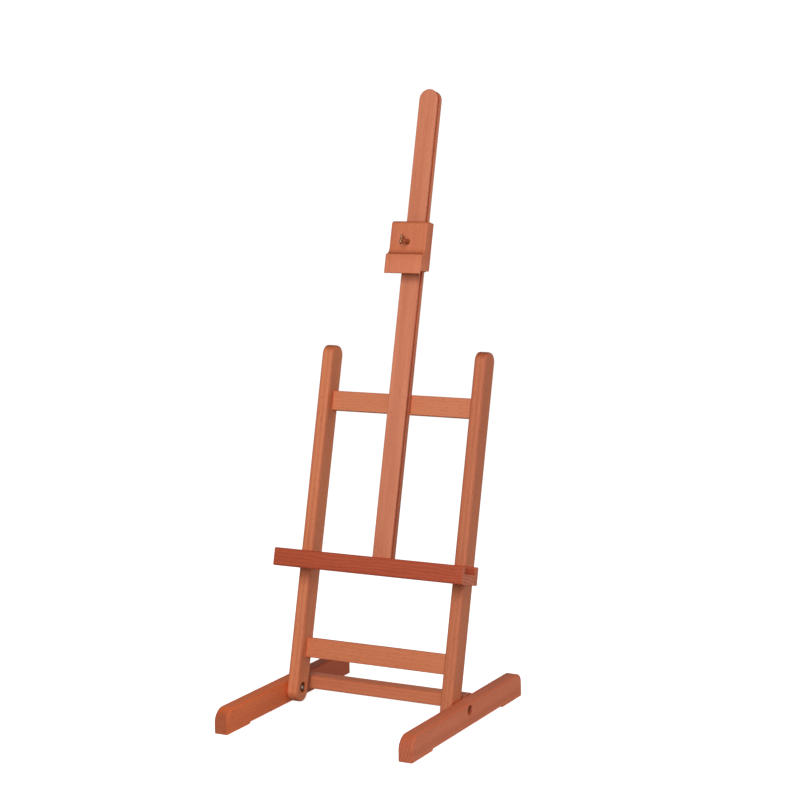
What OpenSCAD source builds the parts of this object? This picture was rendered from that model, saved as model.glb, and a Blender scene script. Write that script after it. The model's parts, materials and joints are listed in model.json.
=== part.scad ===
// Table-top H-frame artist easel in solid beech.
// X runs across the easel, +Y to the back and +Z up, in millimetres. The table is Z = 0, and the origin
// lies under the middle of the easel's overall box. The tilting frame is drawn in its own upright axes,
// measured from the pivot bolts, and leant() then leans it back about them.

/* [Lean] */
// Angle that the frame leans back from upright, in degrees
lean = 14.3; // [8:0.1:22]

/* [Feet] */
// Length of each foot, front to back
foot_len = 330; // [320:1:350]
// Distance from the pivot to the front end of a foot
foot_front = 166; // [160:1:175]
// Thickness of a foot, side to side
foot_w = 20; // [18:0.5:26]
// Height of a foot
foot_h = 33; // [31:0.5:38]
// Clear width between the two feet
feet_gap = 251; // [240:1:280]
// Depth of the relief under the middle of a foot
relief_h = 2.5; // [1:0.5:4]
// Length of the bearing pad at the front end of a foot
front_pad = 56; // [40:1:80]
// Length of the bearing pad at the rear end of a foot
rear_pad = 62; // [40:1:80]
// Radius of the upper front corner of a foot, seen from the side
foot_front_r = 19; // [8:1:24]
// Radius of the upper rear corner of a foot, seen from the side
foot_rear_r = 13; // [8:1:24]

/* [Foot brace] */
// Distance from the pivot back to the front face of the brace
brace_setback = 26; // [24:0.5:40]
// Depth of the brace, front to back
brace_d = 20; // [18:0.5:26]
// Height of the brace
brace_h = 18.5; // [16:0.5:22]

/* [Pivots] */
// Height of the pivot bolts above the table
pivot_h = 23.5; // [22.5:0.5:24]
// Diameter of the pivot bolt's shank
bolt_d = 6; // [5:0.5:8]
// Diameter of the bolt head
head_d = 10.5; // [9:0.5:11.5]
// Height of the bolt head
head_h = 3.5; // [2.5:0.5:4.5]
// Diameter of the recess round each bolt head
head_recess_d = 13; // [12:0.5:16]
// Depth of the recess round each bolt head
head_recess = 9; // [4:0.5:10]
// Diameter of the recess round each nut
nut_recess_d = 14; // [13.5:0.5:16]
// Depth of the recess round each nut
nut_recess = 6; // [5:0.5:7]
// Distance across the flats of the nut
nut_flats = 10; // [9:0.5:10]

/* [Posts] */
// Width of a post, seen from the front
post_w = 17; // [16:0.5:22]
// Depth of a post, seen from the side
post_d = 30; // [27:0.5:32]
// Height of a post above the pivot
post_top = 472.5; // [440:0.5:500]
// Length of a post below the pivot
post_tail = 19.5; // [17:0.5:20.5]
// Side clearance between a post and its foot
post_play = 0.5; // [0.3:0.1:1]

/* [Crossbars] */
// Height of each crossbar's section
bar_h = 27; // [22:0.5:32]
// Thickness of the crossbars
bar_t = 13; // [12:0.5:15]
// Height of the lower crossbar's underside above the pivot
lower_bar = 41.5; // [36:0.5:60]
// Height of the upper crossbar's underside above the pivot
upper_bar = 382.5; // [350:0.5:400]

/* [Mast] */
// Width of the mast
mast_w = 28; // [26:0.5:34]
// Thickness of the mast
mast_t = 15; // [14:0.5:18]
// Height of the mast's top above the pivot
mast_top = 830; // [780:1:860]
// Distance from the mast's front face back to its side grooves
groove_lip = 3; // [2.5:0.25:4]
// Width of the side grooves
groove_w = 5.5; // [5:0.25:6.5]
// Depth of the side grooves
groove_depth = 3.5; // [3:0.25:4]

/* [Tray] */
// Length of the tray, side to side
tray_len = 285; // [280:1:320]
// Depth of the tray, front to back
tray_d = 47; // [44:0.5:54]
// Height of the tray's moulding
tray_h = 24.5; // [22:0.5:28]
// Height of the tray's underside above the pivot
tray_z = 162; // [150:0.5:180]
// Thickness of the front lip
lip_t = 5.5; // [5:0.5:7]
// Thickness of the back wall
back_t = 10.5; // [10:0.5:12]
// Thickness of the channel's floor
floor_t = 14.2; // [12:0.1:15]
// Depth that the posts and mast are housed in the tray's back
housing = 5; // [4:0.5:5.5]

/* [Clamp] */
// Width of the clamp
clamp_w = 55; // [48:1:64]
// Height of the clamp
clamp_h = 73.5; // [68:0.5:84]
// Height of the clamp's underside above the pivot
clamp_z = 569.5; // [520:0.5:620]
// Thickness of the clamp from its front face to its back
clamp_t = 19.2; // [18:0.2:22]
// Distance that the nose stands in front of the clamp's face
nose_out = 8.6; // [6:0.2:10]
// Height of the nose
nose_h = 26; // [22:0.5:28]
// Radius of the cove between the nose and the face, more than nose_out
cove_r = 10.5; // [10.2:0.1:12]
// Thickness of the hooked edge at the front of the nose
hook_t = 3; // [2.5:0.5:4]
// Height that the hooked edge hangs below the underside
hook_h = 3.7; // [2:0.1:5]
// Rise of the underside from the hook to the back
underside_rise = 3.9; // [2:0.1:5]

/* [Wing screw] */
// Height of the wing screw above the clamp's underside
screw_up = 44.5; // [42:0.5:50]
// Diameter of the wing screw's thread
thread_d = 5; // [4:0.5:6]
// Angle that the wings are turned from level, in degrees
wing_turn = 98; // [0:1:180]
// Distance from the screw's axis to the edge of a wing
wing_span = 6.8; // [6:0.2:9]
// Height of the wings above the clamp's face
wing_rise = 21.5; // [19:0.5:24]

/* [Hidden] */

$fn = 64;
post_beech = [0.80, 0.50, 0.36];
foot_beech = [0.73, 0.40, 0.26];
tray_beech = [0.67, 0.33, 0.22];
dowel_beech = [0.86, 0.66, 0.48];
old_brass = [0.55, 0.42, 0.25];
zinc = [0.72, 0.72, 0.70];

// Clearance between pieces that move against each other, and the overshoot of a cutting shape
gap = 0.3;
over = 1;
// Radius of the rounded long edges of the bars, of the finely eased edges and of the feet's lower edges
edge_r = 3;
ease_r = 1.2;
sole_r = 1;
// Distance that the mast stands in front of the posts, and the height of its seat in the tray
mast_proud = 1;
mast_seat = 3;
// Distance from the mast's front face to the clamp's, and the thickness of the clamp's cheeks
clamp_reach = 17;
cheek_t = 5;
// Clearance of the bolts in the feet and in the posts, and of the screws' threads in the metal round them
foot_play = 0.4;
bore_play = 0.1;

foot_in = feet_gap / 2;
foot_out = foot_in + foot_w;
foot_rear = foot_len - foot_front;
post_out = foot_in - post_play;
post_in = post_out - post_w;
post_mid = (post_out + post_in) / 2;
post_front = -post_d / 2;
post_back = post_d / 2;
// Radii that make the post's top a bull nose and its tail round enough to swing clear of the table
post_top_r = post_d / 2 - 2;
post_tail_r = post_d / 2 - 1;

mast_front = post_front - mast_proud;
mast_back = mast_front + mast_t;
mast_foot = tray_z + mast_seat;
bar_front = mast_back;
bar_back = bar_front + bar_t;

tray_back = post_front + housing;
tray_front = tray_back - tray_d;
channel_front = tray_front + lip_t;
channel_back = tray_back - back_t;
channel_floor = tray_z + floor_t;

clamp_front = mast_front - clamp_reach;
clamp_back = clamp_front + clamp_t;
nose_front = clamp_front - nose_out;
screw_z = clamp_z + screw_up;
// The clamp's cheeks reach behind the mast's front lips and carry the tongues that ride in its grooves
cheek_in = mast_w / 2 + gap;
cheek_out = cheek_in + cheek_t;
tongue_in = mast_w / 2 - groove_depth + gap;
tongue_front = mast_front + groove_lip + gap;
tongue_back = mast_front + groove_lip + groove_w - gap;

// The brace is flush with the tops of the feet
brace_z = foot_h - brace_h;
brace_dowel_d = 8;
brace_dowel_len = 30;
bar_dowel_d = 6;
bar_dowel_len = 24;
bar_dowel_y = (bar_front + bar_back) / 2;

// Wood screws: shank, head and lengths
wood_screw_d = 4;
wood_head_d = 8;
wood_head_h = 2.4;
mast_screw_len = 24;
mast_foot_screw_len = 30;
tray_screw_len = 48;
mast_screw_x = 5;
mast_screw_z = upper_bar + bar_h / 2;
tray_screw_z = tray_z + floor_t / 2;
mast_foot_screw_z = tray_z + floor_t / 2 + 1;

washer_t = 1;
washer_d = 13;
nut_h = 3.6;
bolt_tip = 1.6;
insert_d = 8;
insert_len = 12;

// The pivot lies this far from the origin, so that the origin is under the middle of the overall box
rear_reach = mast_top * sin(lean) + mast_back * cos(lean);
pivot_y = (foot_front - rear_reach) / 2;

module on_pivot() {
    translate([0, pivot_y, pivot_h]) children();
}

module leant() {
    on_pivot() rotate([-lean, 0, 0]) children();
}

module both_sides() {
    children();
    mirror([1, 0, 0]) children();
}

// An outline in Y and Z, extruded along X from x0 to x1
module along_x(x0, x1) {
    translate([x0, 0, 0]) rotate([90, 0, 90]) linear_extrude(x1 - x0) children();
}

// An outline in X and Z, extruded along Y from y0 to y1
module along_y(y0, y1) {
    translate([0, y1, 0]) rotate([90, 0, 0]) linear_extrude(y1 - y0) children();
}

// What is cut from a square corner at p to round it with radius r; s points from the corner inwards
module corner_waste(p, s, r) {
    difference() {
        translate([s.x > 0 ? p.x - over : p.x - r, s.y > 0 ? p.y - over : p.y - r]) square(r + over);
        translate([p.x + s.x * r, p.y + s.y * r]) circle(r);
    }
}

// A rectangle from low to high with corner radii r, in the order low-low, high-low, high-high, low-high
module rounded_rect(low, high, r) {
    difference() {
        translate(low) square(high - low);
        corner_waste(low, [1, 1], r[0]);
        corner_waste([high.x, low.y], [-1, 1], r[1]);
        corner_waste(high, [-1, -1], r[2]);
        corner_waste([low.x, high.y], [1, -1], r[3]);
    }
}

module cylinder_x(d, x0, x1, y, z) {
    translate([x0, y, z]) rotate([0, 90, 0]) cylinder(d = d, h = x1 - x0);
}

module cylinder_y(d, y0, y1, x, z) {
    translate([x, y0, z]) rotate([-90, 0, 0]) cylinder(d = d, h = y1 - y0);
}

// A countersunk wood screw driven forwards (towards -Y) with its head flush at the face y
module wood_screw(len, x, y, z) {
    cross_w = 1.2;
    cross_len = 4.6;
    cross_depth = 1.6;
    tip = 4;
    translate([x, y, z]) rotate([90, 0, 0]) difference() {
        union() {
            cylinder(d1 = wood_head_d, d2 = wood_screw_d, h = wood_head_h);
            cylinder(d = wood_screw_d, h = len - tip);
            translate([0, 0, len - tip]) cylinder(d1 = wood_screw_d, d2 = 1, h = tip);
        }
        for (turn = [0, 90]) rotate(turn)
            translate([-cross_len / 2, -cross_w / 2, -over]) cube([cross_len, cross_w, cross_depth + over]);
    }
}

// The hole that the same screw sits in
module wood_screw_hole(len, x, y, z) {
    translate([x, y, z]) rotate([90, 0, 0]) {
        translate([0, 0, -over]) cylinder(d = wood_screw_d, h = len + over);
        cylinder(d1 = wood_head_d, d2 = wood_screw_d, h = wood_head_h);
        translate([0, 0, -over]) cylinder(d = wood_head_d, h = over);
    }
}

module brace_dowel_places() {
    for (step = [-1, 1])
        translate([foot_in, brace_setback + (2 + step) * brace_d / 4, brace_z + brace_h / 2 - pivot_h])
            children();
}

module bar_dowel_places(bar_z) {
    for (step = [-1, 1])
        translate([post_in, bar_dowel_y, bar_z + bar_h / 2 + step * bar_h / 4]) children();
}

module dowel(d, len) {
    rotate([0, 90, 0]) cylinder(d = d, h = len, center = true);
}

// Side view of a foot, with the front end at -foot_front and the pivot at Y = 0
module foot_outline() {
    toe_r = 2;
    slope = 3;
    difference() {
        rounded_rect([-foot_front, 0], [foot_rear, foot_h], [toe_r, toe_r, foot_rear_r, foot_front_r]);
        polygon([
            [front_pad - foot_front, -over],
            [front_pad - foot_front, 0],
            [front_pad - foot_front + slope, relief_h],
            [foot_rear - rear_pad - slope, relief_h],
            [foot_rear - rear_pad, 0],
            [foot_rear - rear_pad, -over]
        ]);
    }
}

module foot() {
    on_pivot() difference() {
        intersection() {
            translate([0, 0, -pivot_h]) along_x(foot_in, foot_out) foot_outline();
            translate([0, 0, -pivot_h]) along_y(-foot_front, foot_rear)
                rounded_rect([foot_in, 0], [foot_out, foot_h], [sole_r, sole_r, edge_r, edge_r]);
        }
        cylinder_x(bolt_d + foot_play, foot_in - over, foot_out + over, 0, 0);
        cylinder_x(head_recess_d, foot_out - head_recess, foot_out + over, 0, 0);
        brace_dowel_places() dowel(brace_dowel_d, brace_dowel_len);
    }
}

module right_foot() {
    color(foot_beech) foot();
}

module left_foot() {
    color(foot_beech) mirror([1, 0, 0]) foot();
}

module foot_brace() {
    brace_r = 2;
    color(foot_beech) on_pivot() difference() {
        translate([0, 0, -pivot_h]) along_x(-foot_in, foot_in)
            rounded_rect([brace_setback, brace_z], [brace_setback + brace_d, foot_h],
                [brace_r, brace_r, brace_r, brace_r]);
        both_sides() brace_dowel_places() dowel(brace_dowel_d, brace_dowel_len);
    }
}

module brace_dowels() {
    color(dowel_beech) on_pivot() both_sides() brace_dowel_places() dowel(brace_dowel_d, brace_dowel_len);
}

// A domed bolt with a hexagon socket: its head sits in the foot and its shank carries the post
module pivot_bolts() {
    head_x = foot_out - head_recess;
    shank_len = head_x - (post_in + nut_recess - gap - washer_t - nut_h - bolt_tip);
    end_ease = 1;
    dome_r = 8;
    socket_flats = 4;
    socket_depth = 2;
    color(zinc) on_pivot() both_sides() translate([head_x, 0, 0]) rotate([0, 90, 0]) difference() {
        rotate_extrude() {
            translate([0, end_ease - shank_len]) square([bolt_d / 2, shank_len - end_ease + over]);
            polygon([
                [0, -shank_len],
                [bolt_d / 2 - end_ease, -shank_len],
                [bolt_d / 2, end_ease - shank_len],
                [0, end_ease - shank_len]
            ]);
            intersection() {
                square([head_d / 2, head_h]);
                translate([0, head_h - dome_r]) circle(dome_r);
            }
        }
        translate([0, 0, head_h - socket_depth])
            cylinder(d = socket_flats / cos(30), h = socket_depth + over, $fn = 6);
    }
}

module pivot_washers() {
    washer_x = post_in + nut_recess - gap - washer_t;
    color(old_brass) on_pivot() both_sides() difference() {
        cylinder_x(washer_d, washer_x, washer_x + washer_t, 0, 0);
        cylinder_x(bolt_d, washer_x - over, washer_x + washer_t + over, 0, 0);
    }
}

// A hexagon nut near the bolt's end, inside the recess in the post
module pivot_nuts() {
    nut_x = post_in + nut_recess - gap - washer_t;
    color(old_brass) on_pivot() both_sides() difference() {
        translate([nut_x - nut_h, 0, 0]) rotate([0, 90, 0])
            cylinder(d = nut_flats / cos(30), h = nut_h, $fn = 6);
        cylinder_x(bolt_d, nut_x - nut_h - over, nut_x + over, 0, 0);
    }
}

module post() {
    leant() difference() {
        intersection() {
            along_x(post_in, post_out)
                rounded_rect([post_front, -post_tail], [post_back, post_top],
                    [post_tail_r, post_tail_r, post_top_r, post_top_r]);
            translate([0, 0, -post_tail]) linear_extrude(post_tail + post_top)
                rounded_rect([post_in, post_front], [post_out, post_back],
                    [edge_r, edge_r, edge_r, edge_r]);
        }
        cylinder_x(bolt_d + bore_play, post_in - over, post_out + over, 0, 0);
        cylinder_x(nut_recess_d, post_in - over, post_in + nut_recess, 0, 0);
        for (bar_z = [lower_bar, upper_bar]) bar_dowel_places(bar_z) dowel(bar_dowel_d, bar_dowel_len);
        wood_screw_hole(tray_screw_len, post_mid, post_back, tray_screw_z);
    }
}

module right_post() {
    color(post_beech) post();
}

module left_post() {
    color(post_beech) mirror([1, 0, 0]) post();
}

module crossbar(bar_z) {
    difference() {
        along_x(-post_in, post_in)
            rounded_rect([bar_front, bar_z], [bar_back, bar_z + bar_h], [ease_r, ease_r, ease_r, ease_r]);
        both_sides() bar_dowel_places(bar_z) dowel(bar_dowel_d, bar_dowel_len);
    }
}

module lower_crossbar() {
    color(post_beech) leant() crossbar(lower_bar);
}

module upper_crossbar() {
    color(post_beech) leant() difference() {
        crossbar(upper_bar);
        both_sides() wood_screw_hole(mast_screw_len, mast_screw_x, bar_back, mast_screw_z);
    }
}

module crossbar_dowels() {
    color(dowel_beech) leant() both_sides()
        for (bar_z = [lower_bar, upper_bar]) bar_dowel_places(bar_z) dowel(bar_dowel_d, bar_dowel_len);
}

// The mast's section in X and Y: a bar with a groove along each side
module mast_section() {
    half = mast_w / 2;
    difference() {
        rounded_rect([-half, mast_front], [half, mast_back], [ease_r, ease_r, ease_r, ease_r]);
        for (x = [-half - over, half - groove_depth])
            translate([x, mast_front + groove_lip]) square([groove_depth + over, groove_w]);
    }
}

// The mast's front view in X and Z: a bar with a round top
module mast_outline() {
    half = mast_w / 2;
    translate([-half, mast_foot]) square([mast_w, mast_top - half - mast_foot]);
    translate([0, mast_top - half]) circle(half);
}

module mast() {
    color(post_beech) leant() difference() {
        intersection() {
            translate([0, 0, mast_foot]) linear_extrude(mast_top - mast_foot) mast_section();
            along_y(mast_front, mast_back) mast_outline();
        }
        both_sides() wood_screw_hole(mast_screw_len, mast_screw_x, bar_back, mast_screw_z);
        wood_screw_hole(mast_foot_screw_len, 0, mast_back, mast_foot_screw_z);
    }
}

module mast_screws() {
    color(zinc) leant() both_sides() wood_screw(mast_screw_len, mast_screw_x, bar_back, mast_screw_z);
}

module mast_foot_screw() {
    color(zinc) leant() wood_screw(mast_foot_screw_len, 0, mast_back, mast_foot_screw_z);
}

module tray_screws() {
    color(zinc) leant() both_sides() wood_screw(tray_screw_len, post_mid, post_back, tray_screw_z);
}

// The tray's end view: a front lip, a channel and a back wall
module tray_section() {
    front_r = 2;
    channel_r = 1.5;
    difference() {
        rounded_rect([tray_front, tray_z], [tray_back, tray_z + tray_h],
            [front_r, ease_r, ease_r, front_r]);
        rounded_rect([channel_front, channel_floor], [channel_back, tray_z + tray_h + 2 * channel_r],
            [channel_r, channel_r, channel_r, channel_r]);
    }
}

module tray() {
    half = tray_len / 2;
    color(tray_beech) leant() difference() {
        along_x(-half, half) tray_section();
        both_sides() translate([post_in, post_front, tray_z - over])
            cube([post_w, housing + over, tray_h + 2 * over]);
        translate([-mast_w / 2, mast_front, mast_foot])
            cube([mast_w, tray_back - mast_front + over, tray_h]);
        both_sides() wood_screw_hole(tray_screw_len, post_mid, post_back, tray_screw_z);
        wood_screw_hole(mast_foot_screw_len, 0, mast_back, mast_foot_screw_z);
    }
}

// The clamp's side view in Y and Z, without its cheeks
module clamp_outline() {
    top = clamp_z + clamp_h;
    cove_z = clamp_z + nose_h + cove_r;
    hook_back = nose_front + hook_t;
    fine_r = 0.5;
    difference() {
        union() {
            rounded_rect([clamp_front, clamp_z], [clamp_back, top], [fine_r, fine_r, ease_r, edge_r]);
            rounded_rect([nose_front, clamp_z], [clamp_front + over, cove_z], [1, fine_r, fine_r, fine_r]);
        }
        translate([clamp_front - cove_r, cove_z]) circle(cove_r);
        polygon([
            [hook_back, clamp_z - over],
            [hook_back, clamp_z + hook_h],
            [clamp_back + over, clamp_z + hook_h + underside_rise],
            [clamp_back + over, clamp_z - over]
        ]);
    }
}

module canvas_clamp() {
    half = clamp_w / 2;
    top = clamp_z + clamp_h;
    top_r = 2;
    cheek_z = clamp_z + hook_h + underside_rise;
    cheek_h = top - cheek_z - top_r;
    color(post_beech) leant() difference() {
        union() {
            intersection() {
                along_x(-half, half) clamp_outline();
                along_y(nose_front - over, clamp_back + over)
                    rounded_rect([-half, clamp_z], [half, top], [ease_r, ease_r, top_r, top_r]);
            }
            both_sides() translate([tongue_in, tongue_front, cheek_z])
                cube([cheek_out - tongue_in, tongue_back - tongue_front, cheek_h]);
            both_sides() translate([cheek_in, clamp_back - over, cheek_z])
                cube([cheek_out - cheek_in, tongue_back - clamp_back + over, cheek_h]);
        }
        translate([-cheek_in, mast_front - gap, clamp_z - over])
            cube([2 * cheek_in, tongue_front - mast_front + gap, clamp_h + 2 * over]);
        cylinder_y(insert_d, clamp_front - over, clamp_front + insert_len, 0, screw_z);
        cylinder_y(thread_d + 2 * gap, clamp_front, mast_front, 0, screw_z);
    }
}

module clamp_insert() {
    color(old_brass) leant() difference() {
        cylinder_y(insert_d, clamp_front, clamp_front + insert_len, 0, screw_z);
        cylinder_y(thread_d + bore_play, clamp_front - over, clamp_front + insert_len + over, 0, screw_z);
    }
}

// One wing of the screw, seen flat: R runs out from the axis and H away from the clamp
module wing_outline() {
    ear_r = 3.4;
    root_h = 4.5;
    notch = 2.6;
    difference() {
        union() {
            translate([wing_span - ear_r, wing_rise - ear_r]) circle(ear_r);
            polygon([
                [0, root_h],
                [thread_d / 2, root_h],
                [wing_span, wing_rise - ear_r],
                [0, wing_rise - notch]
            ]);
        }
        translate([-over, 0]) square([over, wing_rise]);
    }
}

// The screw stands out of the clamp: a round hub that tapers into two wings
module wing_screw() {
    hub_d = 6.2;
    hub_h = 5;
    taper_h = 7;
    tip_d = 2.6;
    wing_t = 2.2;
    shank = mast_front - clamp_front;
    color(old_brass) leant() translate([0, clamp_front - gap, screw_z]) rotate([90, wing_turn, 0]) {
        translate([0, 0, -shank]) cylinder(d = thread_d, h = shank + over);
        cylinder(d = hub_d, h = hub_h);
        translate([0, 0, hub_h]) cylinder(d1 = hub_d, d2 = tip_d, h = taper_h);
        for (turn = [0, 180]) rotate(turn)
            translate([0, wing_t / 2, 0]) rotate([90, 0, 0]) linear_extrude(wing_t) wing_outline();
    }
}

left_foot();
right_foot();
foot_brace();
brace_dowels();
pivot_bolts();
pivot_washers();
pivot_nuts();
left_post();
right_post();
lower_crossbar();
upper_crossbar();
crossbar_dowels();
mast();
tray();
mast_screws();
mast_foot_screw();
tray_screws();
canvas_clamp();
clamp_insert();
wing_screw();
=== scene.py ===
import json
import math

import bmesh
import bpy
from mathutils import Matrix, Vector


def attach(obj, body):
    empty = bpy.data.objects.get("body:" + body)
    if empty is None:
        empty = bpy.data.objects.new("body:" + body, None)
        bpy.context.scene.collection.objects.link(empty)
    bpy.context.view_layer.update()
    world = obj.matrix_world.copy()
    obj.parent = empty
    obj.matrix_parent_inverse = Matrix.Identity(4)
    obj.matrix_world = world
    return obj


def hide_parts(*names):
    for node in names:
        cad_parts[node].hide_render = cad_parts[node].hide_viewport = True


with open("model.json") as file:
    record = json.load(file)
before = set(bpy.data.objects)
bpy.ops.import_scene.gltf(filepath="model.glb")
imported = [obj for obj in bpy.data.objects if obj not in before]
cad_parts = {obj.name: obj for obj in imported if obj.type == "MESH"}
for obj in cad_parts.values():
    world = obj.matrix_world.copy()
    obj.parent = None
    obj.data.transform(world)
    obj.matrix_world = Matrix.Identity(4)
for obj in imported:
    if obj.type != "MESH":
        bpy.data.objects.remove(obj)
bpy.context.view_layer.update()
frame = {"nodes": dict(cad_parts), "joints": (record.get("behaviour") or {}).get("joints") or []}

# Wooden table easel. The CAD frame gives every place; the outlines below are in millimetres, in the axes
# of the part that they belong to, and become metres when a mesh is made.
MM = 0.001
OVER = 1.0
# Points that are closer than this count as one
APART = 0.001
ARC_STEPS = 8
ROUND_STEPS = 64
WING_SCREW_STEPS = 40

# ---------------------------------------------------------------- where the parts are
joints = {joint["name"]: joint for joint in frame["joints"]}
pivot = Vector(joints["frame_tilt"]["pos_m"])
mast_line = Vector(joints["clamp_slide"]["axis"])
lean = math.atan2(mast_line.y, mast_line.z)

# UPRIGHT: Y from the pivot bolts and Z from the table. LEANT: both from the pivot bolts, leaning back.
UPRIGHT = Matrix.Translation((0, pivot.y, 0))
LEANT = Matrix.Translation(pivot) @ Matrix.Rotation(-lean, 4, "X")


def extent(node, place):
    """Lowest and highest corner of a CAD node in the axes of place, in millimetres."""
    back = place.inverted()
    points = [back @ vertex.co / MM for vertex in frame["nodes"][node].data.vertices]
    return Vector(map(min, *points)), Vector(map(max, *points))


foot_lo, foot_hi = extent("right_foot", UPRIGHT)
brace_lo, brace_hi = extent("foot_brace", UPRIGHT)
post_lo, post_hi = extent("right_post", LEANT)
mast_lo, mast_hi = extent("mast", LEANT)
tray_lo, tray_hi = extent("tray", LEANT)
clamp_lo, clamp_hi = extent("canvas_clamp", LEANT)
screw_lo, screw_hi = extent("wing_screw", LEANT)
pivot_up = pivot.z / MM


def distances_from_middle(node):
    """How far each point of a CAD node is from the easel's middle plane, in millimetres."""
    return [abs(vertex.co.x) / MM for vertex in frame["nodes"][node].data.vertices]


bolt_end_x = min(distances_from_middle("pivot_bolts"))
nut_face_x = max(distances_from_middle("pivot_nuts"))

# ---------------------------------------------------------------- sizes that the boxes don't give
# Feet
TOE_R = 2.0
FOOT_FRONT_R = 19.0
FOOT_REAR_R = 13.0
FRONT_PAD = 56.0
REAR_PAD = 62.0
RELIEF_H = 2.5
RELIEF_SLOPE = 3.0
FOOT_EASE = 0.6
LONG_EDGE_R = 3.0
SOLE_EDGE_R = 1.0
BOLT_RECESS_D = 13.0
BOLT_RECESS_DEPTH = 9.0
FOOT_BORE_D = 6.4
BRACE_EDGE_R = 2.0

# Posts, crossbars and mast
POST_TOP_R = 13.0
POST_TAIL_R = 14.0
NUT_RECESS_D = 14.0
NUT_RECESS_DEPTH = 6.0
POST_BORE_D = 6.1
EASED_R = 1.2
GROOVE_FRONT = 3.0
GROOVE_W = 5.5
GROOVE_DEPTH = 3.5

# Tray
TRAY_FRONT_R = 2.0
CHANNEL_R = 1.5
LIP_T = 5.5
BACK_T = 10.5
FLOOR_T = 14.2
TRAY_END_R = 0.8
MAST_SEAT = 3.0

# Clamp
CLAMP_FACE = -33.0
CLAMP_BACK = -13.8
NOSE_H = 26.0
COVE_R = 10.5
HOOK_T = 3.0
HOOK_H = 3.7
UNDERSIDE_RISE = 3.9
GUIDE_DROP = 2.0
CLAMP_TOP_R = 5.0
CLAMP_EDGE_R = 1.8
FINE_R = 0.5
PLAY = 0.3
CHEEK_T = 5.0
INSERT_D = 8.0
INSERT_LEN = 12.0
SCREW_UP = 44.5

# Metal
BOLT_D = 6.0
BOLT_HEAD_D = 10.5
BOLT_HEAD_H = 3.5
SOCKET_FLATS = 4.0
SOCKET_DEPTH = 2.0
NUT_FLATS = 10.0
NUT_H = 3.6
BOLT_END_H = 1.9
THREAD_D = 5.0
BOLT_CAP_H = 1.1
BOLT_EASE = 0.4
THREAD_PITCH = 0.8
THREAD_CUT = 0.35
TIP_CUT = 0.8
TIP_LENGTH = 0.6
WING_TURN = math.radians(98)
WING_SPAN = 6.8
WING_T = 2.2
WING_RIM_R = 0.7
WING_EAR_R = 3.4
WING_ROOT = 4.5
# How far each wing reaches past the screw's axis into the other one
WING_OVERLAP = 0.9
# (distance from the axis, height above the clamp's face) up a wing's outer side, from its root to its ear
WING_FLARE = [(1.9, WING_ROOT), (2.5, 7.2), (4.4, 10.6), (5.7, 14.2), (6.6, 16.8)]
# (radius, height) up the hub from the clamp's face to its tip
HUB = [(2.8, 0), (3.0, 0.3), (2.8, 2.0), (2.4, 4.4), (2.2, 6.6), (2.0, 9.2), (1.6, 11.4), (1.2, 12.0),
       (0, 12.4)]

# Wood screws: shank, head, and their lengths and places in the leaning frame
WOOD_SHANK_D = 4.0
WOOD_HEAD_D = 8.0
WOOD_HEAD_H = 2.4
MAST_SCREW_X = 5.0
MAST_SCREW_LEN = 24.0
MAST_FOOT_SCREW_LEN = 30.0
MAST_FOOT_SCREW_LIFT = 1.0
TRAY_SCREW_LEN = 48.0
WOOD_SCREW_PLAY = 0.05


# ---------------------------------------------------------------- outlines and solids
def arc(centre, radius, start, end, steps=ARC_STEPS):
    """Plain outline corners along an arc, with the angles in degrees."""
    angles = [math.radians(start + (end - start) * i / steps) for i in range(steps + 1)]
    return [(centre[0] + radius * math.cos(a), centre[1] + radius * math.sin(a), 0) for a in angles]


def turn_corner(before, here, after, radius):
    """The points of an arc that rounds the corner at here."""
    to_before = (before - here).normalized()
    to_after = (after - here).normalized()
    half = to_before.angle(to_after) / 2
    centre = here + (to_before + to_after).normalized() * radius / math.sin(half)
    reach = radius / math.tan(half)
    first = here + to_before * reach - centre
    last = here + to_after * reach - centre
    sweep = -first.angle_signed(last)
    steps = max(2, round(abs(sweep) / (math.pi / 2) * ARC_STEPS))
    points = []
    for i in range(steps + 1):
        a = sweep * i / steps
        points.append(centre + Vector((first.x * math.cos(a) - first.y * math.sin(a),
                                       first.x * math.sin(a) + first.y * math.cos(a))))
    return points


def outline(corners):
    """Points of a closed outline, each with the bevel left for its edge and for the rim that follows it.

    A corner is (u, v, radius) or (u, v, radius, rim). It becomes an arc if its radius is over the rims
    beside it, and otherwise stays sharp so that the bevel rounds it."""
    spots = [Vector(corner[:2]) for corner in corners]
    rims = [corner[3] if len(corner) > 3 else 0 for corner in corners]
    points = []
    for i, corner in enumerate(corners):
        here, radius, rim = spots[i], corner[2], rims[i]
        if radius > max(rim, rims[i - 1]):
            turned = turn_corner(spots[i - 1], here, spots[(i + 1) % len(spots)], radius)
            points += [(spot, 0, max(rim, rims[i - 1])) for spot in turned[:-1]]
            points.append((turned[-1], 0, rim))
        else:
            points.append((here, radius, rim))
    return [p for i, p in enumerate(points) if (p[0] - points[i - 1][0]).length > APART]


# Where an outline's (u, v) and a distance t along the axis go
AXIS_ORDER = {
    "X": lambda u, v, t: (t, u, v),
    "Y": lambda u, v, t: (u, t, v),
    "Z": lambda u, v, t: (u, v, t),
}


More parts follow.
